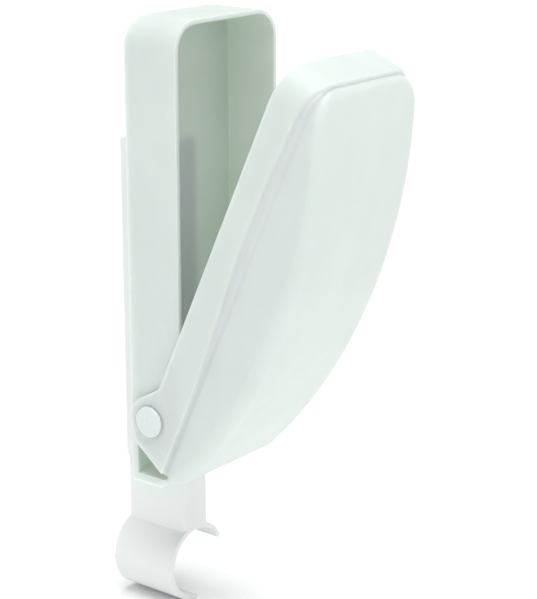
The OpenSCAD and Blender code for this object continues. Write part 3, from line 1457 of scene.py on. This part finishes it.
    def build(self) -> bpy.types.Object:
        """Makes the shell's mesh, opened to its stop."""
        outer, inner = self.skin(0.0), self.skin(self.wall)
        base = len(outer.points)
        points = [*outer.points, *inner.points]
        faces = [*outer.faces, *[[i + base for i in f[::-1]] for f in inner.faces]]
        for a, b in ((outer.rim, inner.rim), (outer.foot, inner.foot)):
            for i in range(len(a) - 1):
                faces.append([a[i], a[i + 1], b[i + 1] + base, b[i] + base])
        solid = mesh_object("front_shell_piece", points, faces)
        soften(solid, self.soft, 3, 55)
        round_pin = arc(0, 0, self.pin_hole, 0, 360, PIN_CHORDS)[:-1]
        hole = prism("pin", Plane.YZ, round_pin, -THROUGH, THROUGH)
        combine(solid, Cut.DIFFERENCE, hole)
        d = self.datum
        turn = Matrix.Rotation(math.radians(d.open_angle), 4, "X")
        move = Matrix.Translation(Vector((0, d.pivot_y * MM, d.pivot_z * MM)))
        solid.data.transform(move @ turn)
        solid.data.update()
        return shaded(solid)


@dataclass
class Pivot:
    """The two headed pins and the push-on washers behind them.

    Attributes:
        datum: The shared sizes.
        shank_r: Radius of the shank.
        head_r: Radius of the head.
        head_h: Thickness of the head.
        head_x: Inner face of the head.
        tip_x: Inner end of the pin.
        washer_x: Outer face of the washer.
        washer_t: Its thickness.
        washer_r: Its radius.
        washer_edge: Rounding of its edges.
        play: Gap between the washer and the shank.
        tip_edge: Rounding of the pin's tip.
        rim_edge: Rounding of the head's inner edge.
        rim_flat: Straight part of the head's rim.
        dome_rise: Height of the head's dome.
        dome_chords: Chords across the dome.
        chords: Chords round every turned piece.
    """

    datum: Datum
    shank_r: float = 2.5
    head_r: float = 5.4
    head_h: float = 1.4
    head_x: float = 28.42
    tip_x: float = 22.98
    washer_x: float = 24.58
    washer_t: float = 1.0
    washer_r: float = 4.8
    washer_edge: float = 0.2
    play: float = 0.03
    tip_edge: float = 0.4
    rim_edge: float = 0.15
    rim_flat: float = 0.3
    dome_rise: float = 0.87
    dome_chords: int = 6
    chords: int = 72

    def pin_profile(self) -> list[Point2]:
        """The pin from its tip to the middle of its head."""
        e, t, n = self.head_h / 2, self.tip_edge, self.dome_chords
        x0, x1 = self.head_x, self.head_x + self.head_h
        x_dome = x0 + self.rim_edge + self.rim_flat
        dome = []
        for i in range(1, n + 1):
            a = math.pi / 2 * i / n
            r = self.head_r - e * (1 - math.cos(a))
            dome.append((x_dome + self.dome_rise * math.sin(a), r))
        return [
            (self.tip_x, 0.0),
            (self.tip_x, self.shank_r - t),
            (self.tip_x + t * 0.3, self.shank_r - t * 0.3),
            (self.tip_x + t, self.shank_r),
            (x0, self.shank_r),
            (x0, self.head_r - self.rim_edge),
            (x0 + self.rim_edge, self.head_r),
            (x_dome, self.head_r),
            *dome,
            (x1, self.head_r * 0.5),
            (x1, self.head_r * 0.16),
            (x1 - 0.16, 0.0),
        ]

    def washer_profile(self) -> list[Point2]:
        """The washer's section, a closed loop with rounded corners."""
        c = self.washer_edge
        x0, x1 = self.washer_x - self.washer_t, self.washer_x
        r0, r1 = self.shank_r + self.play, self.washer_r
        return [
            (x0, r0 + c),
            (x0, r1 - c),
            (x0 + c * 0.3, r1 - c * 0.3),
            (x0 + c, r1),
            (x1 - c, r1),
            (x1 - c * 0.3, r1 - c * 0.3),
            (x1, r1 - c),
            (x1, r0 + c),
            (x1 - c, r0),
            (x0 + c, r0),
            (x0, r0 + c),
        ]

    def pair(
        self, name: str, profile: list[Point2], finish: bpy.types.Material
    ) -> bpy.types.Object:
        """A turned piece at both ends of the pivot.

        Args:
            name: The object's name.
            profile: The piece's profile on the right side.
            finish: Its material.

        Returns:
            Both pieces as one mesh.
        """
        piece = lathe(name, profile, self.chords)
        soften(piece, 0.05, 1, 60)
        d = self.datum
        at = (0.0, d.pivot_y * MM, d.pivot_z * MM)
        return Repeat(name + "_places", 2, at, (0.0, 0.0, 0.0), 180.0).apply(piece, finish)


@dataclass
class BackScrews:
    """The two cross-head screws that hold the rear shell to the spine.

    Attributes:
        datum: The shared sizes.
        shank_r: Radius of the thread's crest.
        length: Length under the head.
        head_r: Radius of the head.
        head_h: Height of the head.
        recess_len: Length of the recess's slots.
        recess_w: Their width.
        recess_depth: Their depth.
        recess_corner: Radius of their corners.
        pitch: Pitch of the thread.
        root_r: Radius at the thread's root.
        crest: Width of its crest.
        flank: Width of its flank.
        tip: Length of the plain tip.
        rim: Height of the head's rim.
        dome: How far the head's dome narrows.
        dome_chords: Chords across the dome.
        chords: Chords round the screw.
        seat: Distance from the tray's rear face to the head's seat.
    """

    datum: Datum
    shank_r: float = 1.5
    length: float = 10.0
    head_r: float = 3.2
    head_h: float = 2.0
    recess_len: float = 3.6
    recess_w: float = 0.8
    recess_depth: float = 1.2
    recess_corner: float = 0.2
    pitch: float = 1.0
    root_r: float = 1.2
    crest: float = 0.12
    flank: float = 0.43
    tip: float = 1.2
    rim: float = 0.35
    dome: float = 1.7
    dome_chords: int = 8
    chords: int = 48
    seat: float = 2.0

    def profile(self) -> list[Point2]:
        """Shank with its thread, and the pan head, along X."""
        end = self.length
        points: list[Point2] = [(end, 0.0), (end, 0.5), (end - 0.9, self.root_r - 0.05)]
        x = end - self.tip
        while x > 0.9:
            root = x - self.crest - self.flank
            points += [(x, self.shank_r), (x - self.crest, self.shank_r), (root, self.root_r)]
            x -= self.pitch
        points += [(0.0, self.shank_r - 0.2), (0.0, self.head_r - 0.25), (-0.12, self.head_r)]
        rise = self.head_h - self.rim
        for i in range(1, self.dome_chords + 1):
            a = math.pi / 2 * i / self.dome_chords
            r = self.head_r - self.dome * (1 - math.cos(a))
            points.append((-self.rim - rise * math.sin(a), r))
        points.append((-self.head_h, 0.0))
        return points

    def build(self, finish: bpy.types.Material) -> bpy.types.Object:
        """Makes both screws.

        Args:
            finish: Their material.

        Returns:
            Both screws as one mesh.
        """
        screw = lathe("back_screws_piece", self.profile(), self.chords)
        depth = -self.head_h + self.recess_depth
        c = self.recess_corner
        for w, h in ((self.recess_w, self.recess_len), (self.recess_len, self.recess_w)):
            outline = rounded_outline(-w / 2, w / 2, -h / 2, h / 2, c, 3)
            slot = prism("recess", Plane.YZ, outline, -self.head_h - 1, depth)
            combine(screw, Cut.DIFFERENCE, slot)
        shaded(screw, 30)
        screw.data.transform(Matrix.Rotation(math.radians(90), 4, "Z"))
        d = self.datum
        z0, z1 = d.screw_z
        start = (0.0, (d.tray_back_y - self.seat) * MM, z0 * MM)
        return Repeat("screw_places", 2, start, (0.0, 0.0, (z1 - z0) * MM)).apply(screw, finish)


# ---- studio ----------------------------------------------------------------


@dataclass
class Studio:
    """Pale floor, soft lights and the camera.

    Attributes:
        floor_z: Height of the floor, in millimetres.
        azimuth: Turn of the camera, in degrees.
        elevation: How far the camera looks down, in degrees.
        lens: Its focal length, in millimetres.
        eye: Its place, in millimetres.
        sky: Strength of the even light.
        key: Strength of the light from above.
        fill: Watts of the lamp at the side.
        cool: Colour of that lamp.
        centre: The point it faces, in millimetres.
        key_from: Direction the light from above comes from.
        key_spread: How wide that light is, in degrees.
        fill_at: Where the lamp hangs, in millimetres.
        fill_size: Its side, in metres.
        floor_half: Half the side of the floor, in millimetres.
    """

    floor_z: float = -14.6
    azimuth: float = -52.29
    elevation: float = 16.28
    lens: float = 108.2
    eye: Point3 = (-453.8, -396.5, 271.0)
    sky: float = 0.67
    key: float = 2.4
    fill: float = 1.5
    cool: tuple[float, float, float] = (0.85, 0.9, 1.0)
    centre: Point3 = (0.0, -30.0, 90.0)
    key_from: Point3 = (-0.05, -0.2, 0.98)
    key_spread: float = 50.0
    fill_at: Point3 = (-1130.0, -880.0, 500.0)
    fill_size: float = 1.2
    floor_half: float = 4000.0

    def floor(self) -> bpy.types.Object:
        """A wide pale sheet under the object."""
        s, z = self.floor_half, self.floor_z
        sheet = mesh_object(
            "studio_floor", [(-s, -s, z), (s, -s, z), (s, s, z), (-s, s, z)], [[0, 1, 2, 3]]
        )
        if sheet.data.polygons[0].normal.z < 0:
            sheet.data.flip_normals()
        sheet.data.materials.append(PaleFloor().build())
        return sheet

    def lamp(self, name: str, place: Point3, aim: Point3, size: float, power: float) -> None:
        """Adds a square soft light.

        Args:
            name: The light's name.
            place: Where it hangs, in millimetres.
            aim: The point it faces, in millimetres.
            size: Its side, in metres.
            power: Watts.
        """
        data = bpy.data.lights.new(name, "AREA")
        data.shape = "SQUARE"
        data.size = size
        data.energy = power
        data.color = self.cool
        lamp = bpy.data.objects.new(name, data)
        at = Vector(place) * MM
        lamp.location = at
        lamp.rotation_euler = (Vector(aim) * MM - at).to_track_quat("-Z", "Y").to_euler()
        bpy.context.scene.collection.objects.link(lamp)

    def build(self) -> None:
        """Sets up the studio."""
        scene = bpy.context.scene
        self.floor()
        world = bpy.data.worlds.new("studio_air")
        world.use_nodes = True
        sky = world.node_tree.nodes["Background"]
        sky.inputs["Color"].default_value = (1.0, 1.0, 1.0, 1.0)
        sky.inputs["Strength"].default_value = self.sky
        scene.world = world
        key = bpy.data.lights.new("key_light", "SUN")
        key.energy = self.key
        key.angle = math.radians(self.key_spread)
        above = bpy.data.objects.new("key_light", key)
        above.rotation_euler = Vector(self.key_from).to_track_quat("Z", "Y").to_euler()
        scene.collection.objects.link(above)
        self.lamp("fill_light", self.fill_at, self.centre, self.fill_size, self.fill)
        data = bpy.data.cameras.new("camera")
        data.lens = self.lens
        data.sensor_width = 36.0
        data.clip_start, data.clip_end = 0.01, 50.0
        camera = bpy.data.objects.new("camera", data)
        camera.location = Vector(self.eye) * MM
        camera.rotation_euler = (
            math.radians(90.0 - self.elevation),
            0.0,
            math.radians(self.azimuth),
        )
        scene.collection.objects.link(camera)
        scene.camera = camera
        scene.view_settings.view_transform = "Standard"


def main() -> None:
    """Builds every piece and the studio."""
    logging.basicConfig(level=logging.INFO, format="%(name)s: %(message)s")
    datum = Datum()
    shell_plastic = MouldedPlastic("moulded_shell_polypropylene", "#cfd8d3", "#c9d2cd", glow=0.75)
    clip_plastic = MouldedPlastic("moulded_clip_polypropylene", "#e6e9e7", "#e0e4e2", grain=0.3)
    pin_plastic = MouldedPlastic(
        "smooth_pin_acetal", "#d8e0de", "#d0d8d6", rough_low=0.24, rough_high=0.34, relief=0.03
    )
    shell = shell_plastic.build()
    clip = clip_plastic.build()
    pin = pin_plastic.build()
    steel = ZincSteel("zinc_plated_steel").build()
    dress(ClipBracket(datum).build(), clip, "clip_plastic", "base", "clip_bracket")
    dress(RearShell(datum).build(), shell, "shell_plastic", "base", "rear_shell")
    dress(FrontShell(datum).build(), shell, "shell_plastic", "front", "front_shell")
    pivot = Pivot(datum)
    dress(
        pivot.pair("pivot_pins_piece", pivot.pin_profile(), pin),
        pin,
        "pin_plastic",
        "base",
        "pivot_pin_left",
        "pivot_pin_right",
    )
    dress(
        pivot.pair("pin_washers_piece", pivot.washer_profile(), steel),
        steel,
        "steel",
        "base",
        "pin_washer_left",
        "pin_washer_right",
    )
    dress(BackScrews(datum).build(steel), steel, "steel", "base", "back_screws")
    Studio().build()


if __name__ == "__main__":
    main()
